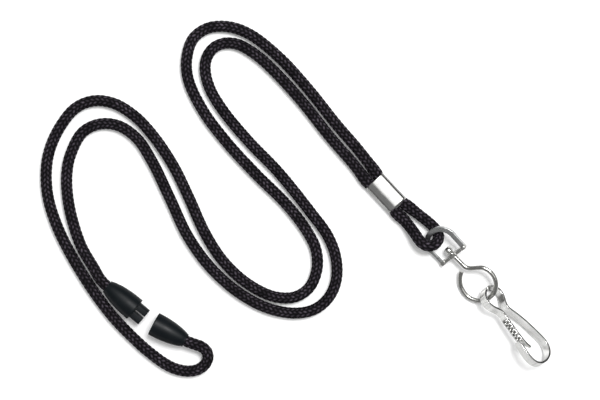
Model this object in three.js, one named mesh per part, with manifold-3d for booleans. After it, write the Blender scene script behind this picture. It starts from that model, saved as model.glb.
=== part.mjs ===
// Lanyard badge holder: a braided cord with a breakaway coupling in its middle, closed by a crimped
// ferrule that holds a swivel loop, a wire hook and a spring clip for a badge.
// Millimetres, +Z up. Origin: centre of the ferrule's flat underside, which lies on the table.
import * as THREE from 'three';
import { mergeVertices } from 'three/addons/utils/BufferGeometryUtils.js';
import Module from 'manifold-3d';

const wasm = await Module();
wasm.setup();

// ---- driving dimensions ----
const CORD_R = 1.85;             // braided cord, 3.7 mm across
const CORD_SIDES = 8;
const LIE_Z = 1.95;              // centreline height of a cord lying on the table

const FERRULE_LEN = 11.8;
const FERRULE_W = 7.6;
const FERRULE_H = 4.3;
const FERRULE_WALL = 0.5;
const FERRULE_TURN = -47;        // heading of the hook end, degrees from +X
const CRIMPED_R = 1.4;           // each strand squeezed inside the ferrule

const LOOP_W = 11.5;             // swivel loop, outside
const LOOP_BAND = 1.8;
const LOOP_T = 1.2;
const LOOP_STRAIGHT = 5.75;      // bar to the centre of the arc
const BAR_T = 1.3;
const BAR_W = 10.9;
const BAR_H = 2.2;
const BAR_HOLE_R = 1.0;
const LOOP_BAR = [22.2, -20.5, 3.52];
const LOOP_TURN = 133;           // heading from bar to arc
const LOOP_PITCH = 5;            // arc end raised, it lies on the cord
const LOOP_ROLL = -27;

const WIRE_R = 0.7;
const RING_R = 5.85;             // wire centreline
const RING_CENTRE = [30.6, -30.1, 3.2];
const RING_ROLL = 21;            // about the stem
const RING_FROM = 75;            // degrees from +X in the ring's plane, the round part
const RING_TO = -155;
const HEAD_R = 1.35;

const STRIP_W = 3.2;             // clip strip, across the clip's plane
const STRIP_T = 0.7;
const CLIP_EYE_TOP = [32.75, -31.5, 3.45];
const CLIP_TURN = -50.3;
const CLIP_PITCH = 3;
const CLIP_ROLL = -40;
const GATE_RIDGES = 7;
const RIDGES_FROM = 0.16;        // along the gate, 0 to 1
const RIDGES_TO = 0.72;
const RIDGE_SIZE = 0.5;
const RIDGE_PROUD = 0.25;
const RIDGE_LEN = 2.2;

const SHELL_LEN = 12;
const SHELL_R = 4;
const SHELL_NECK_R = 2.35;
const CORD_BORE_R = 1.95;
const CHAMBER_R = 2.8;
const SOCKET_R = 3.35;
const FORK_R = 3.05;
const FORK_REACH = 4;            // prongs past the shoulder
const FORK_SLOT = 0.6;
const FORK_FLAT = 2.1;           // half height of the prongs
const STUB_R = 1.55;             // cord end inside a half
const MALE_NECK = [-92.8, -30.9];
const MALE_TURN = -40;
const FEMALE_NECK = [-66.8, -48.9];
const FEMALE_TURN = 152;

// ---- looks ----
const nickel = { color: 0xc9c8c3, roughness: 0.22, metalness: 1 };
const satinNickel = { color: 0x8d8f8b, roughness: 0.4, metalness: 1 };
const blackPlastic = { color: 0x1c2023, roughness: 0.5, metalness: 0 };
const blackCord = { color: 0x16141a, roughness: 0.85, metalness: 0 };

// ---- cord routes, centrelines in order along the cord ----
// From the ferrule to the start of the U-turn at the female half.
const FEMALE_STRAND = [
  [-2.8, 5.9], [-9.0, 14.1], [-16.8, 23.2], [-26.3, 35.1], [-36.1, 45.7], [-45.8, 53.2], [-52.9, 55.6],
  [-59.5, 55.1], [-64.3, 51.7], [-66.5, 45.2], [-66.0, 38.0], [-61.1, 27.6], [-53.5, 17.4], [-43.6, 6.6],
  [-33.5, -3.4], [-26.8, -12.0], [-23.5, -18.6], [-23.1, -25.2], [-25.7, -31.4], [-30.5, -34.5],
  [-37.4, -34.4], [-46.1, -30.2], [-54.2, -22.8], [-60.3, -13.5], [-65.9, -1.2], [-70.9, 9.0],
  [-77.4, 18.8], [-83.8, 25.7], [-90.6, 29.9], [-97.2, 30.9], [-103.4, 28.6], [-109.1, 21.6],
  [-112.8, 12.2], [-113.1, 0.9], [-109.9, -10.5], [-102.2, -25.4], [-91.9, -40.2], [-82.2, -50.2]];
// Round the U-turn and up into the female half.
const FEMALE_TAIL = [
  [-81.87, -50.5], [-78.2, -53.6], [-73.9, -56.7], [-70.2, -58.5], [-66.0, -59.25],
  [-62.6, -58.6, 2.05], [-60.4, -56.9, 2.3],
  [-59.4, -54.6, 2.7], [-59.9, -52.5, 3.1], [-61.5, -51.0, 3.5], [-63.8, -50.1, 3.85],
  [-66.3, -49.15, 4.02]];
// From the ferrule to the top of the left-hand bend.
const MALE_STRAND = [
  [-5.7, 3.2], [-11.1, 10.0], [-18.5, 18.5], [-28.7, 31.3], [-38.8, 42.2], [-44.1, 46.7], [-49.3, 49.6],
  [-53.7, 50.1], [-57.3, 48.7], [-59.7, 45.6], [-60.4, 41.5], [-58.9, 35.2], [-54.4, 27.6],
  [-46.0, 17.5], [-35.9, 7.0], [-25.3, -6.2], [-19.5, -14.2], [-16.8, -21.5], [-16.7, -28.9],
  [-19.0, -34.4], [-23.5, -38.4], [-30.0, -39.9], [-39.3, -38.3], [-48.9, -33.3], [-58.6, -24.7],
  [-66.2, -14.2], [-72.1, -1.7], [-78.2, 10.9], [-83.2, 18.4], [-89.4, 22.6], [-95.7, 23.1],
  [-101.3, 20.3], [-105.4, 12.5], [-106.5, 6.5], [-106.6, 3.6]];
// The last stretch, down to the male half.
const MALE_LEAD = [
  [-106.58, 3.15], [-106.35, 0.2], [-105.0, -7.6], [-101.7, -17.6], [-97.4, -24.9, 2.8],
  [-95.2, -28.45, 3.75], [-93.2, -30.55, 4.02]];
// The bight that holds the swivel loop: out of the ferrule, under the loop's arc, back over its side.
const HOOK_BIGHT = [
  [5.95, -3.35, 2.1], [8.4, -5.2, 2.0], [11.2, -7.35], [13.7, -9.3], [15.7, -11.1], [17.0, -12.9],
  [17.35, -14.4, 2.6], [16.9, -15.9, 3.8], [15.5, -17.1, 5.0], [13.6, -17.4, 5.55], [11.5, -16.3, 5.1],
  [9.3, -13.2, 3.6], [7.8, -11.1, 2.6], [5.9, -8.8, 2.1], [2.98, -6.02, 2.1]];

// A smooth line through its points that puts one step at each of them.
class Route extends THREE.CatmullRomCurve3 {
  getUtoTmapping(u) {
    return u;
  }
}

function route(points) {
  return new Route(points.map(([x, y, z = LIE_Z]) => new THREE.Vector3(x, y, z)));
}

// ---- solids ----
function toSolid(geometry) {
  const bare = geometry.index ? geometry.clone() : geometry;
  bare.deleteAttribute('normal');
  bare.deleteAttribute('uv');
  const merged = mergeVertices(bare, 1e-5);
  return new wasm.Manifold(new wasm.Mesh({
    numProp: 3,
    vertProperties: new Float32Array(merged.attributes.position.array),
    triVerts: new Uint32Array(merged.index.array),
  }));
}

function toGeometry(solid) {
  const mesh = solid.getMesh();
  const geometry = new THREE.BufferGeometry();
  geometry.setAttribute('position', new THREE.BufferAttribute(mesh.vertProperties, 3));
  geometry.setIndex(new THREE.BufferAttribute(mesh.triVerts, 1));
  geometry.computeVertexNormals();
  return geometry;
}

function part(name, geometry, look) {
  const mesh = new THREE.Mesh(geometry, new THREE.MeshStandardMaterial(look));
  mesh.name = name;
  return mesh;
}

function box(dx, dy, dz, x, y, z) {
  const geometry = new THREE.BoxGeometry(dx, dy, dz);
  geometry.translate(x, y, z);
  return toSolid(geometry);
}

// A cylinder along +X from x0 to x1.
function bar(radius, x0, x1, sides = 24) {
  const geometry = new THREE.CylinderGeometry(radius, radius, x1 - x0, sides);
  geometry.rotateZ(-Math.PI / 2);
  geometry.translate((x0 + x1) / 2, 0, 0);
  return toSolid(geometry);
}

function circle(radius, sides) {
  const shape = new THREE.Shape();
  for (let i = 0; i < sides; i++) {
    const a = (i + 0.5) / sides * 2 * Math.PI;
    const move = i === 0 ? 'moveTo' : 'lineTo';
    shape[move](radius * Math.cos(a), radius * Math.sin(a));
  }
  shape.closePath();
  return shape;
}

function tube(curve, steps, radius = CORD_R, sides = CORD_SIDES) {
  return new THREE.ExtrudeGeometry(circle(radius, sides), { steps, extrudePath: curve });
}

function cord(name, points) {
  return part(name, tube(route(points), points.length - 1), blackCord);
}

function straightTube(radius, x0, x1) {
  const line = new THREE.LineCurve3(new THREE.Vector3(x0, 0, 0), new THREE.Vector3(x1, 0, 0));
  return tube(line, 1, radius);
}

// Places a group by heading, pitch and roll in degrees, each about its own turned axis.
function place(group, [x, y, z], heading, pitch = 0, roll = 0) {
  const rad = THREE.MathUtils.degToRad;
  group.position.set(x, y, z);
  group.rotation.set(rad(roll), rad(-pitch), rad(heading), 'ZYX');
  return group;
}

// ---- ferrule ----
function roundedBar(width, height, radius, depth) {
  const w = width / 2;
  const h = height / 2;
  const shape = new THREE.Shape();
  shape.moveTo(-w + radius, -h);
  shape.lineTo(w - radius, -h);
  shape.absarc(w - radius, -h + radius, radius, -Math.PI / 2, 0, false);
  shape.absarc(w - radius, h - radius, radius, 0, Math.PI / 2, false);
  shape.absarc(-w + radius, h - radius, radius, Math.PI / 2, Math.PI, false);
  shape.absarc(-w + radius, -h + radius, radius, Math.PI, 1.5 * Math.PI, false);
  const geometry = new THREE.ExtrudeGeometry(shape, { depth, bevelEnabled: false, curveSegments: 8 });
  geometry.translate(0, 0, -depth / 2);
  geometry.rotateX(Math.PI / 2);
  geometry.rotateZ(Math.PI / 2);
  return toSolid(geometry);
}

function ferruleGroup() {
  const seamShift = 1.6;
  const seamDepth = 0.2;
  const strandShift = 1.62;
  const strandEnd = FERRULE_LEN / 2 - 0.1;
  const innerW = FERRULE_W - 2 * FERRULE_WALL;
  const innerH = FERRULE_H - 2 * FERRULE_WALL;
  const seam = box(FERRULE_LEN + 2, 0.3, 2 * seamDepth, 0, seamShift, -FERRULE_H / 2);
  const sleeve = roundedBar(FERRULE_W, FERRULE_H, 1.9, FERRULE_LEN)
    .subtract(roundedBar(innerW, innerH, 1.45, FERRULE_LEN + 2))
    .subtract(seam);
  const group = new THREE.Group();
  group.add(part('ferrule', toGeometry(sleeve), nickel));
  for (const side of [-1, 1]) {
    const name = side > 0 ? 'cord_in_ferrule_female_side' : 'cord_in_ferrule_male_side';
    const strand = part(name, straightTube(CRIMPED_R, -strandEnd, strandEnd), blackCord);
    strand.position.y = side * strandShift;
    group.add(strand);
  }
  return place(group, [0, 0, FERRULE_H / 2], FERRULE_TURN);
}

// ---- swivel loop: flat D with a folded bar, +X from bar to arc ----
function loopOutline(halfWidth, from) {
  const shape = new THREE.Shape();
  shape.moveTo(from, -halfWidth);
  shape.lineTo(LOOP_STRAIGHT, -halfWidth);
  shape.absarc(LOOP_STRAIGHT, 0, halfWidth, -Math.PI / 2, Math.PI / 2, false);
  shape.lineTo(from, halfWidth);
  shape.closePath();
  return shape;
}

function plate(shape, thickness) {
  const options = { depth: thickness, bevelEnabled: false, curveSegments: 24 };
  const geometry = new THREE.ExtrudeGeometry(shape, options);
  geometry.translate(0, 0, -thickness / 2);
  return toSolid(geometry);
}

function swivelLoop() {
  const half = LOOP_W / 2;
  const d = plate(loopOutline(half, -BAR_T / 2), LOOP_T)
    .subtract(plate(loopOutline(half - LOOP_BAND, BAR_T / 2), LOOP_T + 2))
    .add(box(BAR_T, BAR_W, BAR_H, 0, 0, 0))
    .subtract(bar(BAR_HOLE_R, -BAR_T, BAR_T, 16));
  const group = new THREE.Group();
  group.add(part('swivel_loop', toGeometry(d), satinNickel));
  return place(group, LOOP_BAR, LOOP_TURN, LOOP_PITCH, LOOP_ROLL);
}

// ---- swivel hook: round wire, drawn in the ring's plane about the ring's centre ----
const HOOK_STEM = [
  [-9.9, 11.1], [-8.2, 9.4], [-6.2, 7.4], [-5.0, 6.2], [-4.2, 5.62], [-3.2, 5.36], [-1.9, 5.4], [-0.3, 5.6]];
const HOOK_FLARE = [[-5.75, -1.6], [-6.1, -0.3], [-6.2, 1.1], [-6.05, 2.6], [-5.65, 4.05]];

function hookWire() {
  const round = [];
  for (let a = RING_FROM; a >= RING_TO; a -= 10) {
    const angle = THREE.MathUtils.degToRad(a);
    round.push([RING_R * Math.cos(angle), RING_R * Math.sin(angle)]);
  }
  const points = [...HOOK_STEM, ...round, ...HOOK_FLARE];
  return new THREE.CatmullRomCurve3(points.map(([x, y]) => new THREE.Vector3(x, y, 0)));
}

function swivelHook() {
  const curve = hookWire();
  const head = new THREE.SphereGeometry(HEAD_R, 16, 10);
  head.scale(1, 1, 0.95);
  const neck = curve.getPointAt(0);
  head.translate(neck.x, neck.y, 0);
  const wire = toSolid(tube(curve, 84, WIRE_R, 10)).add(toSolid(head));
  const inPlane = new THREE.Group();
  const stemHeading = -45;
  const mesh = part('swivel_hook', toGeometry(wire), nickel);
  mesh.rotation.z = THREE.MathUtils.degToRad(-stemHeading);
  inPlane.add(mesh);
  return place(inPlane, RING_CENTRE, stemHeading, 0, RING_ROLL);
}

// ---- spring clip: one flat strip on edge, +X from the eye to the badge end ----
// Strip centreline: up the waist, round the eye, down the back and round into the hook end.
const CLIP_LINE = [
  [10.2, -1.95], [9.0, -2.05], [7.9, -2.65], [6.6, -3.5], [5.0, -4.05], [3.4, -4.0], [1.8, -3.15],
  [0.75, -1.65], [0.35, 0.0], [0.75, 1.4], [1.8, 2.65], [3.4, 3.35], [5.0, 3.3], [6.4, 2.7], [7.9, 1.8],
  [9.3, 1.35], [10.6, 1.45], [12.9, 2.25], [16.6, 3.25], [20.6, 3.95], [24.5, 4.45], [26.6, 4.45],
  [28.6, 3.8], [30.1, 2.4], [30.9, 0.3], [30.9, -1.9], [30.0, -3.9], [28.1, -5.1], [25.0, -5.25],
  [21.1, -4.55]];
const GATE_LINE = [
  [10.6, -1.95], [12.4, -2.25], [15.0, -2.5], [18.0, -2.8], [20.8, -3.0], [22.8, -2.85], [24.3, -2.5]];

function strip(points, steps) {
  const curve = new THREE.SplineCurve(points.map(([x, y]) => new THREE.Vector2(x, y)));
  const near = [];
  const far = [];
  for (let i = 0; i <= steps; i++) {
    const p = curve.getPointAt(i / steps);
    const t = curve.getTangentAt(i / steps);
    near.push(new THREE.Vector2(p.x - t.y * STRIP_T / 2, p.y + t.x * STRIP_T / 2));
    far.unshift(new THREE.Vector2(p.x + t.y * STRIP_T / 2, p.y - t.x * STRIP_T / 2));
  }
  return plate(new THREE.Shape([...near, ...far]), STRIP_W);
}

// Grip ridges across the outer face of the gate.
function ridgedGate() {
  const curve = new THREE.SplineCurve(GATE_LINE.map(([x, y]) => new THREE.Vector2(x, y)));
  const out = STRIP_T / 2 + RIDGE_PROUD - RIDGE_SIZE / 2;
  let gate = strip(GATE_LINE, 16);
  for (let i = 0; i < GATE_RIDGES; i++) {
    const u = RIDGES_FROM + (RIDGES_TO - RIDGES_FROM) * i / (GATE_RIDGES - 1);
    const p = curve.getPointAt(u);
    const t = curve.getTangentAt(u);
    const ridge = new THREE.BoxGeometry(RIDGE_SIZE, RIDGE_SIZE, RIDGE_LEN);
    ridge.rotateZ(Math.atan2(t.y, t.x));
    ridge.translate(p.x + t.y * out, p.y - t.x * out, 0);
    gate = gate.add(toSolid(ridge));
  }
  return gate;
}

function springClip() {
  const group = new THREE.Group();
  group.add(part('clip_body', toGeometry(strip(CLIP_LINE, 84)), nickel));
  group.add(part('clip_gate', toGeometry(ridgedGate()), nickel));
  return place(group, CLIP_EYE_TOP, CLIP_TURN, CLIP_PITCH, CLIP_ROLL);
}

// ---- breakaway halves, +X from the cord's end to the mouth ----
function shellProfile(mouthDepth) {
  const outside = new THREE.SplineCurve([
    new THREE.Vector2(SHELL_NECK_R, 0.45), new THREE.Vector2(2.85, 1.8), new THREE.Vector2(3.5, 4.6),
    new THREE.Vector2(3.9, 8), new THREE.Vector2(SHELL_R, SHELL_LEN - 0.25)]).getPoints(10);
  const inside = [
    new THREE.Vector2(SHELL_R - 0.25, SHELL_LEN), new THREE.Vector2(SOCKET_R, SHELL_LEN),
    new THREE.Vector2(SOCKET_R, SHELL_LEN - mouthDepth), new THREE.Vector2(CHAMBER_R, SHELL_LEN - mouthDepth),
    new THREE.Vector2(CHAMBER_R, 4.4), new THREE.Vector2(CORD_BORE_R, 3.6), new THREE.Vector2(CORD_BORE_R, 0),
    new THREE.Vector2(SHELL_NECK_R - 0.1, 0)];
  return [...outside, ...inside, outside[0].clone()];
}

function lathe(profile, sides = 28) {
  const geometry = new THREE.LatheGeometry(profile, sides);
  geometry.rotateZ(-Math.PI / 2);
  return toSolid(geometry);
}

function ring(inner, outer, x0, x1) {
  return bar(outer, x0, x1).subtract(bar(inner, x0 - 1, x1 + 1));
}

function fork() {
  const root = SHELL_LEN - 2.7;
  const tip = SHELL_LEN + FORK_REACH;
  const middle = tip - FORK_REACH / 2;
  let solid = bar(FORK_R, root, tip);
  for (const side of [-1, 1]) {
    solid = solid.subtract(box(FORK_REACH + 0.4, 8, 2, middle + 0.4, 0, side * (FORK_FLAT + 1)));
  }
  return solid.subtract(box(FORK_REACH, FORK_SLOT, 10, middle + 0.3, 0, 0));
}

function breakawayHalf(prefix, neck, turn, mouthDepth) {
  const group = new THREE.Group();
  const shell = lathe(shellProfile(mouthDepth));
  group.add(part(`breakaway_${prefix}_shell`, toGeometry(shell), blackPlastic));
  group.add(part(`cord_end_${prefix}`, straightTube(STUB_R, 0.05, 8), blackCord));
  group.add(part(`cord_crimp_${prefix}`, toGeometry(ring(STUB_R + 0.25, CHAMBER_R - 0.3, 4.9, 7.6)), nickel));
  return place(group, [neck[0], neck[1], SHELL_R + 0.02], turn);
}

const group = new THREE.Group();
group.add(cord('cord_female_strand', FEMALE_STRAND));
group.add(cord('cord_female_tail', FEMALE_TAIL));
group.add(cord('cord_male_strand', MALE_STRAND));
group.add(cord('cord_male_lead', MALE_LEAD));
group.add(cord('cord_hook_bight', HOOK_BIGHT));
group.add(ferruleGroup());
group.add(swivelLoop());
group.add(swivelHook());
group.add(springClip());
const male = breakawayHalf('male', MALE_NECK, MALE_TURN, 3);
male.add(part('breakaway_male_fork', toGeometry(fork()), blackPlastic));
group.add(male);
group.add(breakawayHalf('female', FEMALE_NECK, FEMALE_TURN, 5));

export default group;
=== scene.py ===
"""Lanyard badge holder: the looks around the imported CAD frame. Metres, +Z up."""
import math

import bpy
import numpy as np
from mathutils import Matrix, Vector


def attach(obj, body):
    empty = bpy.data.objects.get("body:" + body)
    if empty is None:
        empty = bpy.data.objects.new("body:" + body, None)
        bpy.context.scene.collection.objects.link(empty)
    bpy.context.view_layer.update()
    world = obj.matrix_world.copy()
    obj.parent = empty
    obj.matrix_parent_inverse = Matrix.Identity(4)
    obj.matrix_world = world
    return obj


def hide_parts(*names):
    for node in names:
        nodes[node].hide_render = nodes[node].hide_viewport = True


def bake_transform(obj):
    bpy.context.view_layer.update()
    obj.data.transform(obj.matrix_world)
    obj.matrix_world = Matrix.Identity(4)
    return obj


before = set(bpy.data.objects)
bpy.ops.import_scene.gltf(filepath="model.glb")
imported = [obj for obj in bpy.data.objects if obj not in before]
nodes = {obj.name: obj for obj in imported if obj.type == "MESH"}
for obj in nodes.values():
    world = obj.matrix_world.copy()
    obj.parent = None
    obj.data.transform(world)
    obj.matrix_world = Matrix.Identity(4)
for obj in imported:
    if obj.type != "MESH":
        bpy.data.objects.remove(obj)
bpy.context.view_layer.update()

# ---- camera: straight down over the lay ----
LENS = 100.0
SENSOR = 36.0
VIEW_W = 0.200                   # width of the view at the cord's height
VIEW_AT = (-0.02878, -0.0022)
CORD_H = 0.002
cam_data = bpy.data.cameras.new("view")
cam_data.lens = LENS
cam_data.sensor_width = SENSOR
cam = bpy.data.objects.new("view", cam_data)
cam.location = (VIEW_AT[0], VIEW_AT[1], CORD_H + VIEW_W * LENS / SENSOR)
bpy.context.collection.objects.link(cam)
bpy.context.scene.camera = cam

# ---- cord: routes of the centreline, as the CAD lays it ----
CORD_R = .00185
LIE_Z = .00195
FEMALE_STRAND = [
    (-.0028, .0059), (-.009, .0141), (-.0168, .0232), (-.0263, .0351), (-.0361, .0457),
    (-.0458, .0532), (-.0529, .0556), (-.0595, .0551), (-.0643, .0517), (-.0665, .0452),
    (-.066, .038), (-.0611, .0276), (-.0535, .0174), (-.0436, .0066), (-.0335, -.0034),
    (-.0268, -.012), (-.0235, -.0186), (-.0231, -.0252), (-.0257, -.0314), (-.0305, -.0345),
    (-.0374, -.0344), (-.0461, -.0302), (-.0542, -.0228), (-.0603, -.0135), (-.0659, -.0012),
    (-.0709, .009), (-.0774, .0188), (-.0838, .0257), (-.0906, .0299), (-.0972, .0309),
    (-.1034, .0286), (-.1091, .0216), (-.1128, .0122), (-.1131, .0009), (-.1099, -.0105),
    (-.1022, -.0254), (-.0919, -.0402), (-.0822, -.0502)]
FEMALE_TAIL = [
    (-.0782, -.0536), (-.0739, -.0567), (-.0702, -.0585), (-.066, -.05925),
    (-.0626, -.0586, .00205), (-.0604, -.0569, .0023), (-.0594, -.0546, .0027),
    (-.0599, -.0525, .0031), (-.0615, -.051, .0035), (-.0638, -.0501, .00385),
    (-.0663, -.04915, .00402)]
MALE_STRAND = [
    (-.0057, .0032), (-.0111, .01), (-.0185, .0185), (-.0287, .0313), (-.0388, .0422),
    (-.0441, .0467), (-.0493, .0496), (-.0537, .0501), (-.0573, .0487), (-.0597, .0456),
    (-.0604, .0415), (-.0589, .0352), (-.0544, .0276), (-.046, .0175), (-.0359, .007),
    (-.0253, -.0062), (-.0195, -.0142), (-.0168, -.0215), (-.0167, -.0289), (-.019, -.0344),
    (-.0235, -.0384), (-.03, -.0399), (-.0393, -.0383), (-.0489, -.0333), (-.0586, -.0247),
    (-.0662, -.0142), (-.0721, -.0017), (-.0782, .0109), (-.0832, .0184), (-.0894, .0226),
    (-.0957, .0231), (-.1013, .0203), (-.1054, .0125), (-.1065, .0065)]
MALE_LEAD = [
    (-.10635, .0002), (-.105, -.0076), (-.1017, -.0176),
    (-.0974, -.0249, .0028), (-.0952, -.02845, .00375), (-.0932, -.03055, .00402)]
HOOK_BIGHT = [
    (.00595, -.00335, .0021), (.0084, -.0052, .002), (.0112, -.00735), (.0137, -.0093),
    (.0157, -.0111), (.017, -.0129), (.01735, -.0144, .0026), (.0169, -.0159, .0038),
    (.0155, -.0171, .005), (.0136, -.0174, .00555), (.0115, -.0163, .0051), (.0093, -.0132, .0036),
    (.0078, -.0111, .0026), (.0059, -.0088, .0021), (.00298, -.00602, .0021)]
# Where the strands enter the ferrule and the halves of the coupling.
FERRULE_IN_FEMALE = (-.00213, .00471, .00215)
FERRULE_IN_MALE = (-.00456, .00245, .00215)
FERRULE_OUT_FEMALE = (.00456, -.00245, .00215)
FERRULE_OUT_MALE = (.00213, -.00471, .00215)
IN_FEMALE_HALF = (-.06768, -.04843, .00402)
IN_MALE_HALF = (-.09203, -.03154, .00402)

LINE_PARTS = 40                  # divisions of a route between two of its points
PLAIT_COLUMNS = 10               # floats round the cord
PLAIT_PITCH = .00166
PLAIT_RISE = .00007
PLAIT_SINK = .00014
CORD_SIDES = 48
CORD_STEP = .00027
HELD, SWELL = .06, .11           # how far the ferrule pinches the cord, and how far it swells beyond
HELD_LEN = .0016
SWELL_AT, SWELL_LEN = .0035, .0026
TABLE_CLEAR = .00001             # height that no point of the cord goes below
PART_AT = (-.10655, .0034, LIE_Z)  # the male line is parted at its nearest position to this


def lift(points):
    return [Vector((p[0], p[1], p[2] if len(p) > 2 else LIE_Z)) for p in points]


def smooth_line(points, step):
    """A centripetal Catmull-Rom line through points, as an even run of positions."""
    pts = [2 * points[0] - points[1], *points, 2 * points[-1] - points[-2]]
    dense = []
    for k in range(1, len(pts) - 2):
        p0, p1, p2, p3 = pts[k - 1:k + 3]
        d0, d1, d2 = [max((b - a).length, 1e-9) ** .5 for a, b in ((p0, p1), (p1, p2), (p2, p3))]
        t1 = ((p1 - p0) / d0 - (p2 - p0) / (d0 + d1) + (p2 - p1) / d1) * d1
        t2 = ((p2 - p1) / d1 - (p3 - p1) / (d1 + d2) + (p3 - p2) / d2) * d1
        for i in range(LINE_PARTS):
            t = i / LINE_PARTS
            dense.append(p1 + t1 * t + (3 * (p2 - p1) - 2 * t1 - t2) * t * t
                         + (2 * (p1 - p2) + t1 + t2) * t ** 3)
    dense.append(pts[-2])
    return even(np.array(dense), step)


def even(line, step):
    gaps = np.linalg.norm(np.diff(line, axis=0), axis=1)
    run = np.concatenate([[0], np.cumsum(gaps)])
    n = max(2, int(round(run[-1] / step)))
    at = np.linspace(0, run[-1], n + 1)
    return np.stack([np.interp(at, run, line[:, k]) for k in range(3)], axis=1)


def frames_along(line, up):
    """Unit side and up at each position of a line, turned as little as possible."""
    tangent = np.gradient(line, axis=0)
    tangent /= np.linalg.norm(tangent, axis=1)[:, None]
    ups = np.empty_like(line)
    u = np.array(up, float)
    for i, t in enumerate(tangent):
        u = u - t * (u @ t)
        u /= np.linalg.norm(u)
        ups[i] = u
    return np.cross(ups, tangent), ups


def new_mesh(name, verts, faces, smooth=True):
    mesh = bpy.data.meshes.new(name)
    mesh.from_pydata([tuple(v) for v in verts], [], faces)
    mesh.update()
    if smooth:
        mesh.polygons.foreach_set("use_smooth", [True] * len(mesh.polygons))
    obj = bpy.data.objects.new(name, mesh)
    bpy.context.collection.objects.link(obj)
    return obj


def lay_uv(obj, name, run, around, flipped=False):
    """UVs on a tube's quads: run at each ring, around at each side and once more at the seam."""
    i = np.repeat(np.arange(len(run) - 1), len(around) - 1)
    j = np.tile(np.arange(len(around) - 1), len(run) - 1)
    corners = [(i, j), (i, j + 1), (i + 1, j + 1), (i + 1, j)]
    if flipped:
        corners.reverse()
    quads = np.stack([v for a, b in corners for v in (run[a], around[b])], axis=1).ravel()
    flat = np.zeros(len(obj.data.loops) * 2)
    flat[:len(quads)] = quads
    obj.data.uv_layers.new(name=name).data.foreach_set("uv", flat)


def grid_faces(rings, sides, closed=False):
    faces = []
    last = rings if closed else rings - 1
    for i in range(last):
        a = i * sides
        b = (i + 1) % rings * sides
        for j in range(sides):
            k = (j + 1) % sides
            faces.append((a + j, a + k, b + k, b + j))
    return faces


def plait_height(along, round_):
    """Height of a two-over, two-under braid, 0 in the gaps to 1 on the crests."""
    a = round_ + along + 400
    b = round_ - along + 400
    j, i = np.floor(a), np.floor(b)
    fa, fb = a - j, b - i
    k = np.mod(i + j, 4)
    s_over = k < 2
    run = np.where(s_over, (fa + k) / 2, (fb + k - 2) / 2)
    across = np.where(s_over, fb, fa)
    return np.sin(np.pi * across) ** .7 * (.25 + .75 * np.sin(np.pi * run) ** .6)


def held_end(run):
    """Share of the cord's own radius at a distance from an end that the ferrule holds."""
    pinched = HELD * np.clip(1 - run / HELD_LEN, 0, 1) ** 1.5
    return 1 - pinched + SWELL * np.exp(-((run - SWELL_AT) / SWELL_LEN) ** 2)


def cord_piece(name, line, start=0.0, held_start=False, held_far_end=False):
    """A braided tube along line. start is the plait's run at its first ring; held ends are pinched."""
    side, up = frames_along(line, (0, 0, 1))
    n = len(line)
    run = np.arange(n) * np.linalg.norm(line[1] - line[0])
    angle = np.arange(CORD_SIDES) / CORD_SIDES * 2 * np.pi
    along = (start + run)[:, None] / PLAIT_PITCH
    round_ = angle[None, :] / (2 * np.pi) * PLAIT_COLUMNS
    h = plait_height(along, round_)
    r = CORD_R - PLAIT_SINK + (PLAIT_RISE + PLAIT_SINK) * h
    pinch = np.ones(n)
    if held_start:
        pinch *= held_end(run)
    if held_far_end:
        pinch *= held_end(run[-1] - run)
    r = r * pinch[:, None]
    verts = (line[:, None, :] + r[..., None] * (np.cos(angle)[None, :, None] * side[:, None, :]
             + np.sin(angle)[None, :, None] * up[:, None, :]))
    verts = verts.reshape(-1, 3)
    verts[:, 2] = np.maximum(verts[:, 2], TABLE_CLEAR)
    faces = grid_faces(n, CORD_SIDES)
    rim0 = tuple(reversed(range(CORD_SIDES)))
    rim1 = tuple((n - 1) * CORD_SIDES + k for k in range(CORD_SIDES))
    obj = new_mesh(name, verts, faces + [rim0, rim1])
    lay_uv(obj, "Braid", (start + run) / PLAIT_PITCH, np.linspace(0, PLAIT_COLUMNS, CORD_SIDES + 1))
    return obj


female_line = smooth_line([Vector(FERRULE_IN_FEMALE), *lift(FEMALE_STRAND), *lift(FEMALE_TAIL),
                           Vector(IN_FEMALE_HALF)], CORD_STEP)
male_line = smooth_line([Vector(FERRULE_IN_MALE), *lift(MALE_STRAND), *lift(MALE_LEAD),
                         Vector(IN_MALE_HALF)], CORD_STEP)
bight_line = smooth_line([Vector(FERRULE_OUT_FEMALE), *lift(HOOK_BIGHT), Vector(FERRULE_OUT_MALE)],
                         CORD_STEP)
# The male strand is parted at its far left, where its last stretch begins to follow the male half.
part_at = int(np.argmin(np.linalg.norm(male_line - np.array(PART_AT), axis=1)))
strand_line = male_line[:part_at + 1]
lead_line = male_line[part_at:]


def line_length(line):
    return float(np.linalg.norm(np.diff(line, axis=0), axis=1).sum())


cord_female = cord_piece("cord_female", female_line, held_start=True)
cord_male = cord_piece("cord_male", strand_line, held_start=True)
cord_lead = cord_piece("cord_lead", lead_line, start=line_length(strand_line))
cord_bight = cord_piece("cord_bight", bight_line, held_start=True, held_far_end=True)
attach(cord_female, "lanyard")
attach(cord_male, "lanyard")
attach(cord_bight, "lanyard")
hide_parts("cord_female_strand", "cord_female_tail")
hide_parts("cord_male_strand")
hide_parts("cord_male_lead")
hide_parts("cord_hook_bight")
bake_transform(cord_lead)


# ---- shared shapes ----
def placed(at, heading, pitch=0.0, roll=0.0):
    turn = [math.radians(v) for v in (heading, -pitch, roll)]
    return (Matrix.Translation(at) @ Matrix.Rotation(turn[0], 4, "Z")
            @ Matrix.Rotation(turn[1], 4, "Y") @ Matrix.Rotation(turn[2], 4, "X"))


def put(obj, matrix, body, slot, *replaced):
    """Sets a piece made in its own axes into the row frame."""
    obj.data.transform(matrix)
    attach(obj, body)
    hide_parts(*replaced)
    return obj


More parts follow.
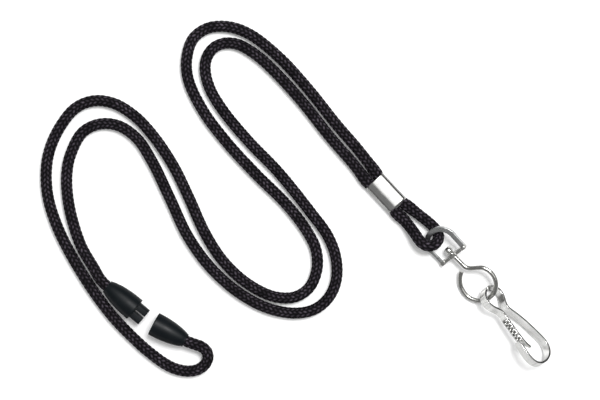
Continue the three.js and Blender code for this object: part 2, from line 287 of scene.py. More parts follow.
def rounded_section(width, height, radius, per_corner):
    """Corner points of a rounded rectangle, width along the first axis."""
    out = []
    for cx, cy, a0 in ((1, 1, 0), (-1, 1, 90), (-1, -1, 180), (1, -1, 270)):
        for k in range(per_corner):
            a = math.radians(a0 + 90 * k / (per_corner - 1))
            out.append((cx * (width / 2 - radius) + radius * math.cos(a),
                        cy * (height / 2 - radius) + radius * math.sin(a)))
    return np.array(out)


def divided(section, longest):
    """The section with its long flats divided."""
    out = []
    for p, q in zip(section, np.roll(section, -1, axis=0)):
        parts = max(1, math.ceil(float(np.linalg.norm(q - p)) / longest))
        out += [p + (q - p) * k / parts for k in range(parts)]
    return np.array(out)


def swept(name, line, section, scale, rise=None):
    """section swept along a line in the XY plane. scale is (across, high) and rise +Z at each position."""
    tangent = np.gradient(line, axis=0)
    tangent /= np.linalg.norm(tangent, axis=1)[:, None]
    ups = np.tile((0.0, 0.0, 1.0), (len(line), 1))
    side = np.cross(tangent, ups)
    across = (scale[:, :1] * section[None, :, 0])[..., None] * side[:, None, :]
    lifted = 0 if rise is None else rise[:, None]
    high = (scale[:, 1:] * section[None, :, 1] + lifted)[..., None] * ups[:, None, :]
    verts = (line[:, None, :] + across + high).reshape(-1, 3)
    n, m = len(line), len(section)
    faces = [tuple(reversed(f)) for f in grid_faces(n, m)]
    faces += [tuple(range(m)), tuple((n - 1) * m + k for k in reversed(range(m)))]
    obj = new_mesh(name, verts, faces)
    step = np.linalg.norm(line[1] - line[0])
    edges = np.linalg.norm(np.roll(section, -1, axis=0) - section, axis=1)
    lay_uv(obj, "Run", np.arange(n) * step, np.concatenate([[0], np.cumsum(edges)]), flipped=True)
    return obj


def turned(name, profile, sides=96):
    """A solid of revolution about +X from a closed profile of (x, radius)."""
    verts = []
    for k in range(sides):
        a = 2 * math.pi * k / sides
        verts += [(x, r * math.cos(a), r * math.sin(a)) for x, r in profile]
    m = len(profile)
    faces = []
    for k in range(sides):
        for j in range(m):
            a, b = k * m, (k + 1) % sides * m
            faces.append((b + j, b + (j + 1) % m, a + (j + 1) % m, a + j))
    return new_mesh(name, verts, faces)


def bevelled(obj, width, segments=3, angle=35):
    mod = obj.modifiers.new("edge", "BEVEL")
    mod.width = width
    mod.segments = segments
    mod.limit_method = "ANGLE"
    mod.angle_limit = math.radians(angle)
    mod.harden_normals = False
    apply_modifiers(obj)


def apply_modifiers(obj):
    deps = bpy.context.evaluated_depsgraph_get()
    mesh = bpy.data.meshes.new_from_object(obj.evaluated_get(deps))
    old = obj.data
    obj.modifiers.clear()
    obj.data = mesh
    bpy.data.meshes.remove(old)


def block(name, size, at=(0, 0, 0)):
    x, y, z = (v / 2 for v in size)
    corners = [(sx * x + at[0], sy * y + at[1], sz * z + at[2])
               for sx in (-1, 1) for sy in (-1, 1) for sz in (-1, 1)]
    faces = [(0, 1, 3, 2), (4, 6, 7, 5), (0, 4, 5, 1), (2, 3, 7, 6), (0, 2, 6, 4), (1, 5, 7, 3)]
    return new_mesh(name, corners, faces, smooth=False)


def rod(name, radius, x0, x1, sides):
    ring = [(radius * math.cos(2 * math.pi * k / sides), radius * math.sin(2 * math.pi * k / sides))
            for k in range(sides)]
    verts = [(x0, y, z) for y, z in ring] + [(x1, y, z) for y, z in ring]
    faces = [(k, (k + 1) % sides, sides + (k + 1) % sides, sides + k) for k in range(sides)]
    faces += [tuple(reversed(range(sides))), tuple(range(sides, 2 * sides))]
    return new_mesh(name, verts, faces, smooth=False)


def combine(obj, other, operation):
    mod = obj.modifiers.new("cut", "BOOLEAN")
    mod.object = other
    mod.operation = operation
    mod.solver = "EXACT"
    apply_modifiers(obj)
    bpy.data.objects.remove(other)


def shade(obj, angle=40):
    """Smooth faces with the edges sharper than angle kept."""
    mesh = obj.data
    mesh.polygons.foreach_set("use_smooth", [True] * len(mesh.polygons))
    mesh.set_sharp_from_angle(angle=math.radians(angle))
    return obj


def second_material(obj, material, chosen):
    """Gives the faces whose centre passes the test a second material."""
    obj.data.materials.append(material)
    for face in obj.data.polygons:
        if chosen(face.center):
            face.material_index = 1


# ---- ferrule ----
FERRULE_AT = placed((0, 0, .00215), heading=-47)
FERRULE_LEN, FERRULE_W, FERRULE_H, FERRULE_WALL = .0118, .0076, .0043, .0005
FERRULE_EDGE = .00022            # rounding of its rims
FERRULE_TURN = .0009             # how far back the hook end begins to turn in over the cords
FERRULE_GRAIN = .00028           # step of the streaks' UV round the sleeve
TURN_W, TURN_H = .02, .20        # share of its width and height that the turned-in end loses outside
TURNED_INSIDE = (.98, .86)       # share of them that is left inside
SEAM_SIZE, SEAM_AT = (.02, .00022, .0004), (0, .0016, -.00205)


def oval(width, height, power, far_power, count=72):
    """Points of a superellipse whose two sides have their own powers."""
    a = np.arange(count) / count * 2 * np.pi
    c, s = np.cos(a), np.sin(a)
    power = np.where(c > 0, power, far_power)
    return np.stack([np.sign(c) * np.abs(c) ** (2 / power) * width / 2,
                     np.sign(s) * np.abs(s) ** (2 / power) * height / 2], axis=1)


def rim(x, inward, outer, inner):
    """The rounded edge at one end of the sleeve, from its outside to its inside."""
    mid = (outer + inner) / 2
    return [(x + inward * .3, outer * .75 + mid * .25), (x, mid), (x + inward * .3, inner * .75 + mid * .25)]


def make_ferrule():
    """A rolled sleeve pressed to an oval, its hook end turned in over the cords, a seam underneath."""
    outer = oval(FERRULE_W, FERRULE_H, power=3.0, far_power=2.2)
    inner = oval(FERRULE_W - 2 * FERRULE_WALL, FERRULE_H - 2 * FERRULE_WALL, power=3.2, far_power=2.6)
    half = FERRULE_LEN / 2
    rings = []
    for x in np.linspace(-half + FERRULE_EDGE, half - FERRULE_EDGE, 57):
        t = max(0.0, (x - half + FERRULE_TURN) / (FERRULE_TURN - FERRULE_EDGE))
        rings.append((x, outer * (1 - TURN_W * t * t, 1 - TURN_H * t * t)))
    turned_in = inner * TURNED_INSIDE
    rings += rim(half, -FERRULE_EDGE, rings[-1][1], turned_in)
    rings += [(half - FERRULE_EDGE, turned_in), (half - FERRULE_TURN, inner), (-half + FERRULE_EDGE, inner)]
    rings += reversed(rim(-half, FERRULE_EDGE, outer, inner))
    verts = [(x, y, z) for x, ring in rings for y, z in ring]
    faces = [tuple(reversed(f)) for f in grid_faces(len(rings), len(outer), closed=True)]
    obj = new_mesh("ferrule_sleeve", verts, faces)
    lay_uv(obj, "Run", np.array([x for x, ring in rings] + [rings[0][0]]),
           np.arange(len(outer) + 1) * FERRULE_GRAIN, flipped=True)
    combine(obj, block("seam", SEAM_SIZE, SEAM_AT), "DIFFERENCE")
    return shade(obj, angle=35)


ferrule = put(make_ferrule(), FERRULE_AT, "lanyard", "bright_nickel", "ferrule")

# ---- swivel loop ----
LOOP_AT = placed((.0222, -.0205, .00352), heading=133, pitch=5, roll=-27)
LOOP_W, LOOP_BAND, LOOP_T, LOOP_STRAIGHT = .0115, .0018, .0012, .00575
LOOP_EDGE, LOOP_STEP = .0002, .0003
BAR_T, BAR_W, BAR_H = .00105, .0109, .0022
BAR_HOLE_R, BAR_HOLE_REACH = .001, .002
FOLDS = ((-.00455, .0018), (.0045, .0019), (0, .0031))  # each one's place along the bar, and its length
FOLD_T, FOLD_H = .0003, .00022   # how much thicker and higher than the bar they are
LEG_NARROW = .48                 # width of the leg that passes under the cord, as a share of the band
NARROW_FROM, NARROW_LEN = .0004, .0014


def drill(obj):
    """Cuts the stem's hole through a part of the bar."""
    combine(obj, rod("hole", BAR_HOLE_R, -BAR_HOLE_REACH, BAR_HOLE_REACH, sides=48), "DIFFERENCE")


def make_loop():
    """A pressed D: flat band with softened edges, its ends folded into a bar."""
    r = LOOP_W / 2 - LOOP_BAND / 2
    arc = [(LOOP_STRAIGHT + r * math.cos(a), r * math.sin(a))
           for a in np.linspace(-math.pi / 2, math.pi / 2, 60)]
    legs = np.linspace(-BAR_T * .4, LOOP_STRAIGHT, 16)[:-1]
    line = [(x, -r) for x in legs] + arc + [(x, r) for x in reversed(legs)]
    line = even(np.array([(x, y, 0) for x, y in line]), LOOP_STEP)
    # One leg is narrower from where the arc ends.
    left = (LOOP_STRAIGHT + NARROW_FROM - line[:, 0]) / NARROW_LEN
    t = np.where(line[:, 1] > 0, np.clip(left, 0, 1), 0)
    narrow = 1 - (1 - LEG_NARROW) * t * t * (3 - 2 * t)
    band = swept("swivel_loop_band", line, rounded_section(LOOP_BAND, LOOP_T, LOOP_EDGE, per_corner=4),
                 scale=np.stack([narrow, np.ones(len(line))], axis=1))
    bar = block("bar", (BAR_T, BAR_W, BAR_H))
    bevelled(bar, width=.00028, segments=4)
    drill(bar)
    # The legs' ends are folded round the bar, and the bar is upset round its hole.
    for y, size in FOLDS:
        fold = block("fold", (BAR_T + FOLD_T, size, BAR_H + FOLD_H), (0, y, 0))
        bevelled(fold, width=.00038, segments=4)
        if y == 0:
            drill(fold)
        combine(bar, fold, "UNION")
    combine(band, bar, "UNION")
    return shade(band, angle=32)


swivel_loop = make_loop()

# ---- swivel hook ----
WIRE_R, RING_R, HEAD_R = .00075, .00585, .00135
WIRE_SIDES, WIRE_STEP = 28, .00018
HOOK_AT = placed((.0306, -.0301, .0032), heading=-45, roll=21) @ Matrix.Rotation(math.radians(45), 4, "Z")
HOOK_STEM = [
    (-.0099, .0111), (-.0082, .0094), (-.0062, .0074), (-.005, .0062), (-.0042, .00562),
    (-.0032, .00536), (-.0019, .0054), (-.0003, .0056)]
HOOK_FLARE = [
    (-.00575, -.0016), (-.0061, -.0003), (-.0062, .0011), (-.00605, .0026), (-.00565, .00405)]


def make_hook():
    ring = [(RING_R * math.cos(math.radians(a)), RING_R * math.sin(math.radians(a)))
            for a in range(75, -156, -10)]
    points = [Vector((x, y, 0)) for x, y in HOOK_STEM + ring + HOOK_FLARE]
    line = smooth_line(points, WIRE_STEP)
    run = np.arange(len(line)) * WIRE_STEP
    left = run[-1] - run
    # The cut end is a little flared by the shear.
    scale = 1 + .10 * np.exp(-left / .0005) - .12 * np.exp(-left / .0001)
    turns = [2 * math.pi * k / WIRE_SIDES for k in range(WIRE_SIDES)]
    circle = np.array([(WIRE_R * math.cos(a), WIRE_R * math.sin(a)) for a in turns])
    return swept("swivel_hook_wire", line, circle, scale=np.stack([scale, scale], axis=1)), line


def make_head(line):
    """The upset head: a flattened ball with a shoulder where it bears on the loop's bar."""
    axis = Vector(line[8] - line[0]).normalized()
    profile = [(-.00128, .00001), (-.00124, .0004), (-.0011, .0008), (-.0008, .00112), (-.0004, .00131),
               (0, HEAD_R), (.0004, .0013), (.0008, .0011), (.00108, .00086), (.00122, .0007),
               (.00122, .00001)]
    head = turned("head", profile, sides=48)
    turn = Vector((1, 0, 0)).rotation_difference(axis).to_matrix().to_4x4()
    head.data.transform(Matrix.Translation(Vector(line[0])) @ turn)
    return head


hook_wire, hook_line = make_hook()
hook_head = make_head(hook_line)
combine(hook_wire, hook_head, "UNION")
shade(hook_wire, angle=50)

# ---- spring clip ----
STRIP_W, STRIP_T = .0032, .0007
STRIP_EDGE = .00009              # rounding of the strip's corners
STRIP_STEP, GATE_STEP, STRIP_PARTS = .00022, .0001, 24
CLIP_AT = placed((.03275, -.0315, .00345), heading=-50.3, pitch=3, roll=-40)
CLIP_LINE = [
    (.0102, -.00195), (.009, -.00205), (.0079, -.00265), (.0066, -.0035), (.005, -.00405),
    (.0034, -.004), (.0018, -.00315), (.00075, -.00165), (.00035, 0), (.00075, .0014),
    (.0018, .00265), (.0034, .00335), (.005, .0033), (.0064, .0027), (.0079, .0018),
    (.0093, .00135), (.0106, .00145), (.0129, .00225), (.0166, .00325), (.0206, .00395),
    (.0245, .00445), (.0266, .00445), (.0286, .0038), (.0301, .0024), (.0309, .0003),
    (.0309, -.0019), (.03, -.0039), (.0281, -.0051), (.025, -.00525), (.0211, -.00455)]
GATE_LINE = [
    (.0106, -.00195), (.0124, -.00225), (.015, -.0025), (.018, -.0028), (.0208, -.003),
    (.0228, -.00285), (.0243, -.0025)]
GATE_ROOT, GATE_ROOT_LEN, GATE_ROOT_SLIM = (.0100, -.00196), .0007, .06
CLIP_TIP = (.0203, -.00435)
GATE_RIDGES, RIDGES_FROM, RIDGES_TO = 7, .16, .72
RIDGE_SIZE, RIDGE_PROUD, RIDGE_LEN = .0005, .00024, .0022
PAD_ALONG, PAD_HIGH, PAD_OFF = 1.3, .44, .27  # a pad's size and place, as shares of a ridge's
GROOVE_HALF = .00106             # half the height of the painted shade in the grooves between the ridges
GROOVE_MARGIN, FACE_NEAR = .04, .00003


def strip_line(points, step):
    """A uniform Catmull-Rom line in the clip's plane, as the CAD draws its strip."""
    p = [points[0], *points, points[-1]]
    dense = []
    for k in range(1, len(p) - 2):
        a, b, c, d = (np.array((*q, 0.0)) for q in p[k - 1:k + 3])
        for i in range(STRIP_PARTS):
            t = i / STRIP_PARTS
            dense.append(b + .5 * (c - a) * t + (a - 2.5 * b + 2 * c - .5 * d) * t * t
                         + (-.5 * a + 1.5 * b - 1.5 * c + .5 * d) * t ** 3)
    dense.append(np.array((*points[-1], 0.0)))
    return even(np.array(dense), step)


def make_strip(name, points, tip_from, tip_width, root=0.0, even_tip=True):
    """The strip along points, narrowed from the share tip_from of its length to its sheared end."""
    line = strip_line(points, STRIP_STEP)
    t = np.clip((np.linspace(0, 1, len(line)) - tip_from) / (1 - tip_from), 0, 1)
    high = 1 - (1 - tip_width) * t * t * (3 - 2 * t)
    slim = 1 - GATE_ROOT_SLIM * (np.arange(len(line)) * STRIP_STEP < root)
    section = divided(rounded_section(STRIP_T, STRIP_W, STRIP_EDGE, per_corner=6), longest=.0004)
    rise = np.zeros(len(line)) if even_tip else (1 - high) * STRIP_W / 2
    return swept(name, line, section, scale=np.stack([slim, high * slim], axis=1), rise=rise)


def make_gate():
    """The gate, its root set inside the end of the body's strip, with two rows of grip pads outside."""
    gate = make_strip("clip_gate_strip", [GATE_ROOT, *GATE_LINE], tip_from=.68, tip_width=.30,
                      root=GATE_ROOT_LEN, even_tip=False)
    line = strip_line(GATE_LINE, GATE_STEP)
    out = STRIP_T / 2 + RIDGE_PROUD - RIDGE_SIZE / 2
    pitch = (RIDGES_TO - RIDGES_FROM) / (GATE_RIDGES - 1)
    for i in range(2 * GATE_RIDGES - 1):
        u = RIDGES_FROM + pitch * i / 2
        row = 1 if i % 2 == 0 else -1
        k = int(u * (len(line) - 2))
        t = line[k + 1] - line[k]
        t /= np.linalg.norm(t)
        ridge = block("ridge", (RIDGE_SIZE * PAD_ALONG, RIDGE_SIZE, RIDGE_LEN * PAD_HIGH))
        bevelled(ridge, width=.00016)
        ridge.data.transform(Matrix.Translation((line[k][0] + t[1] * out, line[k][1] - t[0] * out,
                                                 row * RIDGE_LEN * PAD_OFF))
                             @ Matrix.Rotation(math.atan2(t[1], t[0]), 4, "Z"))
        combine(gate, ridge, "UNION")
    return shade(gate, angle=35)


def darken_grooves(gate, material):
    """Paints shade on the strip's outer face between the ridges, as a second, dark material."""
    line = strip_line(GATE_LINE, GATE_STEP)
    tangent = np.gradient(line, axis=0)
    tangent /= np.linalg.norm(tangent, axis=1)[:, None]
    first, last = (int(u * (len(line) - 2)) for u in (RIDGES_FROM - GROOVE_MARGIN, RIDGES_TO + GROOVE_MARGIN))

    def in_groove(centre):
        c = np.array(centre)
        k = int(np.argmin(np.linalg.norm(line[:, :2] - c[:2], axis=1)))
        off = float((c - line[k]) @ np.array((tangent[k][1], -tangent[k][0], 0)))
        return first < k < last and abs(off - STRIP_T / 2) < FACE_NEAR and abs(c[2]) < GROOVE_HALF

    second_material(gate, material, in_groove)


clip_strip = make_strip("clip_strip", [*CLIP_LINE, CLIP_TIP], tip_from=.975, tip_width=.75)
clip_body = put(shade(clip_strip, angle=50), CLIP_AT, "clip", "bright_nickel", "clip_body")
clip_gate = make_gate()

# ---- breakaway halves, +X from the cord's end to the mouth ----
SHELL_LEN, SHELL_R, NECK_R, BORE_R, CHAMBER_R, SOCKET_R = .012, .004, .00235, .00195, .0028, .00335
FORK_R, FORK_REACH, FORK_ROOT = .00305, .004, .0027
FORK_FLAT = .0021                # half the fork's height between its flats
FLAT_SIZE, FLAT_BACK = (.0044, .008, .002), .0016
SLOT_SIZE, SLOT_BACK = (.004, .0008, .01), .0017
SHELL_CLEAR = .00002             # gap between the shells and the table
MALE_AT = placed((-.0928, -.0309, SHELL_R + SHELL_CLEAR), heading=-40)
FEMALE_AT = placed((-.0668, -.0489, SHELL_R + SHELL_CLEAR), heading=152)


def shell_profile(mouth_depth):
    keys = [(.00045, NECK_R), (.0018, .00285), (.0046, .0035), (.008, .0039), (SHELL_LEN - .00025, SHELL_R)]
    p = [keys[0], *keys, keys[-1]]
    outside = []
    for k in range(1, len(p) - 2):
        a, b, c, d = (np.array(q) for q in p[k - 1:k + 3])
        for i in range(8):
            t = i / 8
            q = (b + .5 * (c - a) * t + (a - 2.5 * b + 2 * c - .5 * d) * t * t
                 + (-.5 * a + 1.5 * b - 1.5 * c + .5 * d) * t ** 3)
            outside.append(tuple(q))
    outside += [(SHELL_LEN - .00025, SHELL_R), (SHELL_LEN - .00012, SHELL_R - .00003),
                (SHELL_LEN - .00003, SHELL_R - .00012), (SHELL_LEN, SHELL_R - .00025)]
    inside = [(SHELL_LEN, SOCKET_R + .00012), (SHELL_LEN - .00012, SOCKET_R),
              (SHELL_LEN - mouth_depth, SOCKET_R), (SHELL_LEN - mouth_depth, CHAMBER_R),
              (.0044, CHAMBER_R), (.0036, BORE_R), (.0002, BORE_R),
              (0, BORE_R + .00012), (0, NECK_R - .0002), (.00006, NECK_R - .00008), (.0002, NECK_R - .00002)]
    return outside + inside


def make_shell(name, mouth_depth):
    return shade(turned(name, shell_profile(mouth_depth)))


def make_fork():
    """The plug: a round root with a two-pronged snap fork, flat above and below."""
    root, tip = SHELL_LEN - FORK_ROOT, SHELL_LEN + FORK_REACH
    solid = rod("breakaway_fork", FORK_R, root, tip, sides=96)
    for side in (-1, 1):
        flat = block("flat", FLAT_SIZE, (tip - FLAT_BACK, 0, side * (FORK_FLAT + FLAT_SIZE[2] / 2)))
        combine(solid, flat, "DIFFERENCE")
    combine(solid, block("slot", SLOT_SIZE, (tip - SLOT_BACK, 0, 0)), "DIFFERENCE")
    bevelled(solid, width=.00014, angle=40)
    return shade(solid)


male_shell = put(make_shell("breakaway_shell_male", mouth_depth=.003), MALE_AT, "male_half",
                 "black_plastic", "breakaway_male_shell")
male_fork = put(make_fork(), MALE_AT, "male_half", "black_plastic", "breakaway_male_fork")
female_shell = put(make_shell("breakaway_shell_female", mouth_depth=.005), FEMALE_AT, "lanyard",
                   "black_plastic", "breakaway_female_shell")


# ---- materials ----
class Net:
    """A material's node tree, with short calls for the nodes used here."""

    def __init__(self, name):
        self.material = bpy.data.materials.new(name)
        self.material.use_nodes = True
        self.tree = self.material.node_tree
        self.shader = next(n for n in self.tree.nodes if n.type == "BSDF_PRINCIPLED")

    def node(self, kind, inputs=(), **options):
        n = self.tree.nodes.new(kind)
        for key, value in options.items():
            setattr(n, key, value)
        for key, value in dict(inputs).items():
            self.feed(n.inputs[key], value)
        return n

    def feed(self, socket, value):
        if isinstance(value, bpy.types.NodeSocket):
            self.tree.links.new(value, socket)
        else:
            socket.default_value = value

    def math(self, operation, a, b=0.0, c=0.0):
        n = self.node("ShaderNodeMath", {0: a, 1: b, 2: c}, operation=operation)
        return n.outputs[0]

    def half_wave(self, turns, power):
        """Half a sine over 0 to 1, raised to a power."""
        wave = self.math("SINE", self.math("MULTIPLY", turns, math.pi))
        return self.math("POWER", self.math("MAXIMUM", wave, 0.0), power)

    def noise(self, vector, scale, detail, roughness=.55):
        n = self.node("ShaderNodeTexNoise", {"Vector": vector, "Scale": scale, "Detail": detail,
                                             "Roughness": roughness})
        return n.outputs["Fac"]

    def mapped(self, value, low, high, out_low, out_high):
        n = self.node("ShaderNodeMapRange", {"Value": value, "From Min": low, "From Max": high,
                                             "To Min": out_low, "To Max": out_high})
        return n.outputs[0]

    def mix(self, factor, a, b):
        n = self.node("ShaderNodeMix", data_type="RGBA")
        self.feed(n.inputs[0], factor)
        self.feed(n.inputs[6], a)
        self.feed(n.inputs[7], b)
        return n.outputs[2]

    def place(self):
        return self.node("ShaderNodeTexCoord").outputs["Object"]

    def stretched(self, vector, scale, turn=(0, 0, 0)):
        n = self.node("ShaderNodeMapping", {"Vector": vector, "Scale": scale, "Rotation": turn})
        return n.outputs[0]

    def bump(self, height, strength, distance):
        n = self.node("ShaderNodeBump", {"Height": height, "Strength": strength, "Distance": distance})
        self.feed(self.shader.inputs["Normal"], n.outputs[0])

    def set(self, **values):
        for key, value in values.items():
            self.feed(self.shader.inputs[key.replace("_", " ")], value)


def braid_material():
    """Black polyester plait: dark gaps, filaments along each carrier, faint purple-grey glints painted on the
    crests.
    """
    net = Net("braided_cord")
    uv = net.node("ShaderNodeUVMap", uv_map="Braid").outputs[0]
    split = net.node("ShaderNodeSeparateXYZ", {0: uv})
    u, v = split.outputs[0], split.outputs[1]
    a = net.math("ADD", net.math("ADD", v, u), 400.0)
    b = net.math("ADD", net.math("SUBTRACT", v, u), 400.0)
    j, i = net.math("FLOOR", a), net.math("FLOOR", b)
    fa, fb = net.math("SUBTRACT", a, j), net.math("SUBTRACT", b, i)
    k = net.math("MODULO", net.math("ADD", i, j), 4.0)
    s_over = net.math("LESS_THAN", k, 1.5)
    z_over = net.math("SUBTRACT", 1.0, s_over)
    run_s = net.math("MULTIPLY", net.math("ADD", fa, k), .5)
    run_z = net.math("MULTIPLY", net.math("ADD", fb, net.math("SUBTRACT", k, 2.0)), .5)
    run = net.math("ADD", net.math("MULTIPLY", s_over, run_s), net.math("MULTIPLY", z_over, run_z))
    across = net.math("ADD", net.math("MULTIPLY", s_over, fb), net.math("MULTIPLY", z_over, fa))
    hump = net.half_wave(across, .7)
    arch = net.half_wave(run, .6)
    height = net.math("MULTIPLY", hump, net.math("MULTIPLY_ADD", arch, .75, .25))
    glint = net.math("MULTIPLY", net.math("POWER", hump, 2.0), net.math("POWER", arch, 4.0))
    # Filaments run along each carrier.
    grain = net.node("ShaderNodeCombineXYZ", {0: net.math("MULTIPLY", across, 22.0),
                                              1: net.math("MULTIPLY", run, 1.3),
                                              2: net.math("ADD", i, net.math("MULTIPLY", j, 3.7))}).outputs[0]
    fibre = net.noise(grain, 1.0, 2.0, .6)
    blotch = net.noise(net.place(), 260.0, 3.0)
    # Every float's painted glint is a little brighter or dimmer, at random.
    cell = net.node("ShaderNodeCombineXYZ", {0: i, 1: j}).outputs[0]
    each = net.node("ShaderNodeTexWhiteNoise", {"Vector": cell}, noise_dimensions="3D").outputs["Value"]
    painted_glint = net.math("MULTIPLY", glint, net.mapped(fibre, .3, .7, .6, 1.2))
    painted_glint = net.math("MULTIPLY", painted_glint, net.mapped(blotch, .35, .65, .45, 1.3))
    painted_glint = net.math("MULTIPLY", painted_glint, net.mapped(each, 0.0, 1.0, .35, 1.25))
    # The purple-grey on the crests is a painted glint; the yarn itself is near black.
    net.set(Base_Color=net.mix(painted_glint, (.0012, .0010, .0015, 1), (.080, .067, .086, 1)),
            Roughness=net.math("MULTIPLY_ADD", painted_glint, -.42, .9), Specular_IOR_Level=.12)
    net.bump(net.math("MULTIPLY_ADD", fibre, .22, height), .8, .00016)
    return net.material


def core_material():
    """Cord where it is held inside metal or plastic: the same black yarn, ends of filaments."""
    net = Net("cord_core")
    grain = net.noise(net.place(), 2600.0, 3.0)
    net.set(Base_Color=net.mix(grain, (.003, .0026, .0034, 1), (.026, .023, .028, 1)),
            Roughness=net.mapped(grain, .3, .7, .55, .8), Specular_IOR_Level=.25)
    net.bump(grain, .5, .0001)
    return net.material


def metal_material(name, dark, light, low, high, marks, dents, dent_scale, streaks=0.0):
    """Plated metal: colour drift, fine rub marks and shallow waves from forming."""
    net = Net(name)
    at = net.place()
    drift = net.noise(at, 240.0, 3.0)
    rub = net.noise(net.stretched(at, (900, 5200, 3000), (.3, .2, .7)), 1.0, 5.0, .65)
    wave = net.noise(at, dent_scale, 2.0)
    wear = net.math("MULTIPLY_ADD", rub, .5, net.math("MULTIPLY", drift, .5))
    if streaks:
        # Rolling streaks along a swept piece.
        run = net.node("ShaderNodeUVMap", uv_map="Run").outputs[0]
        line = net.noise(net.stretched(run, (110, 5200, 1)), 1.0, 3.0, .6)
        wear = net.math("MULTIPLY_ADD", line, streaks, net.math("MULTIPLY", wear, 1 - streaks))
        wave = net.math("MULTIPLY_ADD", line, streaks, wave)
    net.set(Base_Color=net.mix(net.mapped(wear, .35, .65, 0, 1), dark, light), Metallic=1.0,
            Roughness=net.mapped(net.math("MULTIPLY_ADD", rub, marks, net.math("MULTIPLY", drift, 1 - marks)),
                                 .3, .7, low, high))
    height = net.math("MULTIPLY_ADD", rub, .08, wave)
    net.bump(height, dents, .0003)
    return net.material


def plastic_material():
    """Moulded black plastic: satin skin with a fine spark-eroded texture and slight flow marks."""
    net = Net("black_plastic")
    at = net.place()
    grain = net.noise(at, 5200.0, 3.0, .6)
    flow = net.noise(net.stretched(at, (240, 240, 700)), 1.0, 3.0)
    net.set(Base_Color=net.mix(flow, (.0030, .0046, .0060, 1), (.0050, .0074, .0092, 1)),
            Roughness=net.mapped(net.math("MULTIPLY_ADD", flow, .6, net.math("MULTIPLY", grain, .4)),
                                 .3, .7, .34, .50),
            Specular_IOR_Level=.16)
    net.bump(net.math("MULTIPLY_ADD", flow, .3, grain), .18, .00006)
    return net.material


braid = braid_material()
core = core_material()
bright = metal_material("bright_nickel", (.46, .46, .45, 1), (.62, .62, .61, 1),
                        low=.10, high=.24, marks=.6, dents=.06, dent_scale=300.0, streaks=.45)
strip_nickel = metal_material("strip_nickel", (.60, .60, .59, 1), (.94, .94, .92, 1),
                              low=.09, high=.20, marks=.6, dents=.12, dent_scale=700.0, streaks=.5)
wire_nickel = metal_material("wire_nickel", (.36, .36, .345, 1), (.54, .54, .52, 1),
                             low=.08, high=.20, marks=.6, dents=.20, dent_scale=700.0, streaks=.4)
# A lighter copy of the nickel: its deep dents are real, its lighter colour is a painted highlight.
upset = metal_material("upset_nickel_painted_highlight", (.50, .50, .48, 1), (.74, .74, .72, 1),
                       low=.10, high=.24, marks=.6, dents=.45, dent_scale=1000.0)
# Dark metal that paints shade between the gate's ridges.
groove_shade = metal_material("groove_painted_shade", (.05, .05, .048, 1), (.26, .26, .25, 1),
                        low=.30, high=.50, marks=.6, dents=.5, dent_scale=2600.0)
satin = metal_material("satin_nickel", (.50, .51, .51, 1), (.64, .65, .65, 1),
                       low=.22, high=.36, marks=.6, dents=.20, dent_scale=800.0)
crimp = metal_material("crimp_steel", (.42, .42, .40, 1), (.58, .58, .56, 1),
                       low=.30, high=.48, marks=.5, dents=.2, dent_scale=700.0)
plastic = plastic_material()


def wear_material(material, *objects):
    for o in objects:
        o.data.materials.clear()
        o.data.materials.append(material)


def wear_on_node(material, *names):
    for name in names:
        o = nodes[name]
        if not o.material_slots:
            o.data.materials.append(None)
        for s in o.material_slots:
            s.link = "OBJECT"
            s.material = material


wear_material(braid, cord_female, cord_male, cord_lead, cord_bight)
wear_material(bright, ferrule)
# A second material is chosen in a piece's own axes, so the gate, the hook and the loop are put last.
wear_material(strip_nickel, clip_body, clip_gate)
wear_material(wire_nickel, hook_wire)
# Painted shade between the gate's ridges.
darken_grooves(clip_gate, groove_shade)
head_at = Vector(hook_line[0])
# The head gets the lighter nickel, a painted highlight.
second_material(hook_wire, upset, lambda c: (c - head_at).length < HEAD_R + .0001)
put(clip_gate, CLIP_AT, "gate", "bright_nickel", "clip_gate")
put(hook_wire, HOOK_AT, "hook", "bright_nickel", "swivel_hook")
wear_material(satin, swivel_loop)
# The bar and its folds get the lighter nickel, a painted highlight over their dents.
second_material(swivel_loop, upset, lambda c: c.x < BAR_T / 2 + FOLD_T)
put(swivel_loop, LOOP_AT, "loop", "satin_nickel", "swivel_loop")
wear_material(plastic, male_shell, male_fork, female_shell)
wear_on_node(core, "cord_in_ferrule_female_side", "cord_in_ferrule_male_side",
             "cord_end_male", "cord_end_female")
wear_on_node(crimp, "cord_crimp_male", "cord_crimp_female")


# ---- stage: pale floor, soft studio light from the upper right ----
FLOOR_HALF, FLOOR_Z = 2, -.00004


def make_floor():
    corners = [(x * FLOOR_HALF, y * FLOOR_HALF, FLOOR_Z) for x, y in ((-1, -1), (1, -1), (1, 1), (-1, 1))]
    floor = new_mesh("floor", corners, [(0, 1, 2, 3)], smooth=False)
    net = Net("floor")
    tone = net.noise(net.place(), 12.0, 2.0)
    pale = net.mix(tone, (.90, .90, .90, 1), (.93, .93, .93, 1))
    # Reflections see a patchy grey floor, a painted reflection; bounce light sees it a darker grey, which
    # paints shade under the parts; the camera alone sees it glow faintly, which lifts the shadows on it.
    path = net.node("ShaderNodeLightPath")
    glossy = path.outputs["Is Glossy Ray"]
    unseen = net.math("MAXIMUM", glossy, path.outputs["Is Diffuse Ray"])
    pale = net.mix(path.outputs["Is Diffuse Ray"], pale, (.45, .45, .45, 1))
    reflection_patches = net.mapped(net.noise(net.place(), 130.0, 2.0), .40, .60, 0.0, 1.0)
    painted_reflection = net.mix(reflection_patches, (.45, .45, .45, 1), (.95, .95, .95, 1))
    net.set(Base_Color=net.mix(glossy, pale, painted_reflection), Roughness=.85, Specular_IOR_Level=.1,
            Emission_Color=net.mix(unseen, (.14, .14, .14, 1), (0, 0, 0, 1)), Emission_Strength=1.0)
    wear_material(net.material, floor)


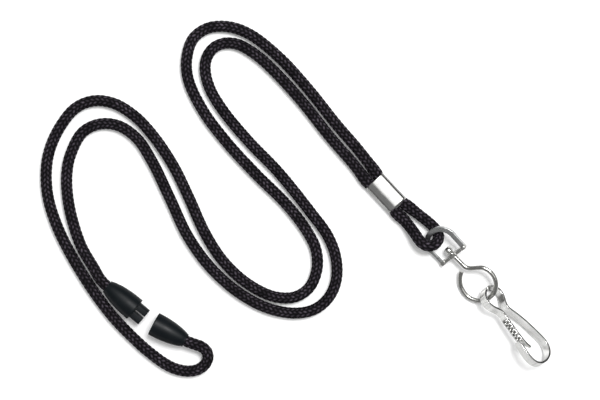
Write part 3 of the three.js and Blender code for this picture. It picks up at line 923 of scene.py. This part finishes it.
def area_light(name, at, size, power, aim=(-.03, -.005, 0)):
    light = bpy.data.lights.new(name, "AREA")
    light.shape = "RECTANGLE"
    light.size, light.size_y = size
    light.energy = power
    obj = bpy.data.objects.new(name, light)
    obj.location = at
    obj.rotation_euler = (Vector(aim) - Vector(at)).to_track_quat("-Z", "Y").to_euler()
    bpy.context.collection.objects.link(obj)


def make_world():
    """A bright round tent leaning to the upper right, a dark flag under it, dim walls, a pale horizon."""
    world = bpy.data.worlds.new("studio")
    bpy.context.scene.world = world
    world.use_nodes = True
    tree = world.node_tree
    back = next(n for n in tree.nodes if n.type == "BACKGROUND")

    def node(kind, **options):
        n = tree.nodes.new(kind)
        for key, value in options.items():
            setattr(n, key, value)
        return n

    def ramp(source, *stops):
        n = node("ShaderNodeValToRGB")
        elements = n.color_ramp.elements
        while len(elements) < len(stops):
            elements.new(1.0)
        for element, (position, level) in zip(elements, stops):
            element.position = position
            element.color = (level, level, level, 1)
        tree.links.new(source, n.inputs[0])
        return n.outputs[0]

    way = node("ShaderNodeTexCoord").outputs["Generated"]

    def toward(x, y, z):
        n = node("ShaderNodeVectorMath", operation="DOT_PRODUCT")
        n.inputs[1].default_value = Vector((x, y, z)).normalized()
        tree.links.new(way, n.inputs[0])
        return n.outputs["Value"]

    def join(operation, a, b):
        n = node("ShaderNodeMath", operation=operation)
        tree.links.new(a, n.inputs[0])
        tree.links.new(b, n.inputs[1])
        return n.outputs[0]

    height = toward(0, 0, 1)
    tent = ramp(toward(.22, .28, .94), (.81, 0), (.89, 1))
    low = ramp(height, (.12, .04), (.30, .05), (.44, .17))
    flag = ramp(toward(.62, .785, 0), (.66, 1), (.78, .15))
    horizon = ramp(height, (.05, .62), (.12, 0))
    dark = join("MULTIPLY", join("MAXIMUM", low, horizon), flag)
    tree.links.new(join("MAXIMUM", tent, dark), back.inputs[0])
    back.inputs[1].default_value = 1.7


make_floor()
area_light("key", at=(.20, .27, .93), size=(.30, .30), power=7.5)
make_world()
scene = bpy.context.scene
scene.view_settings.view_transform = "Standard"
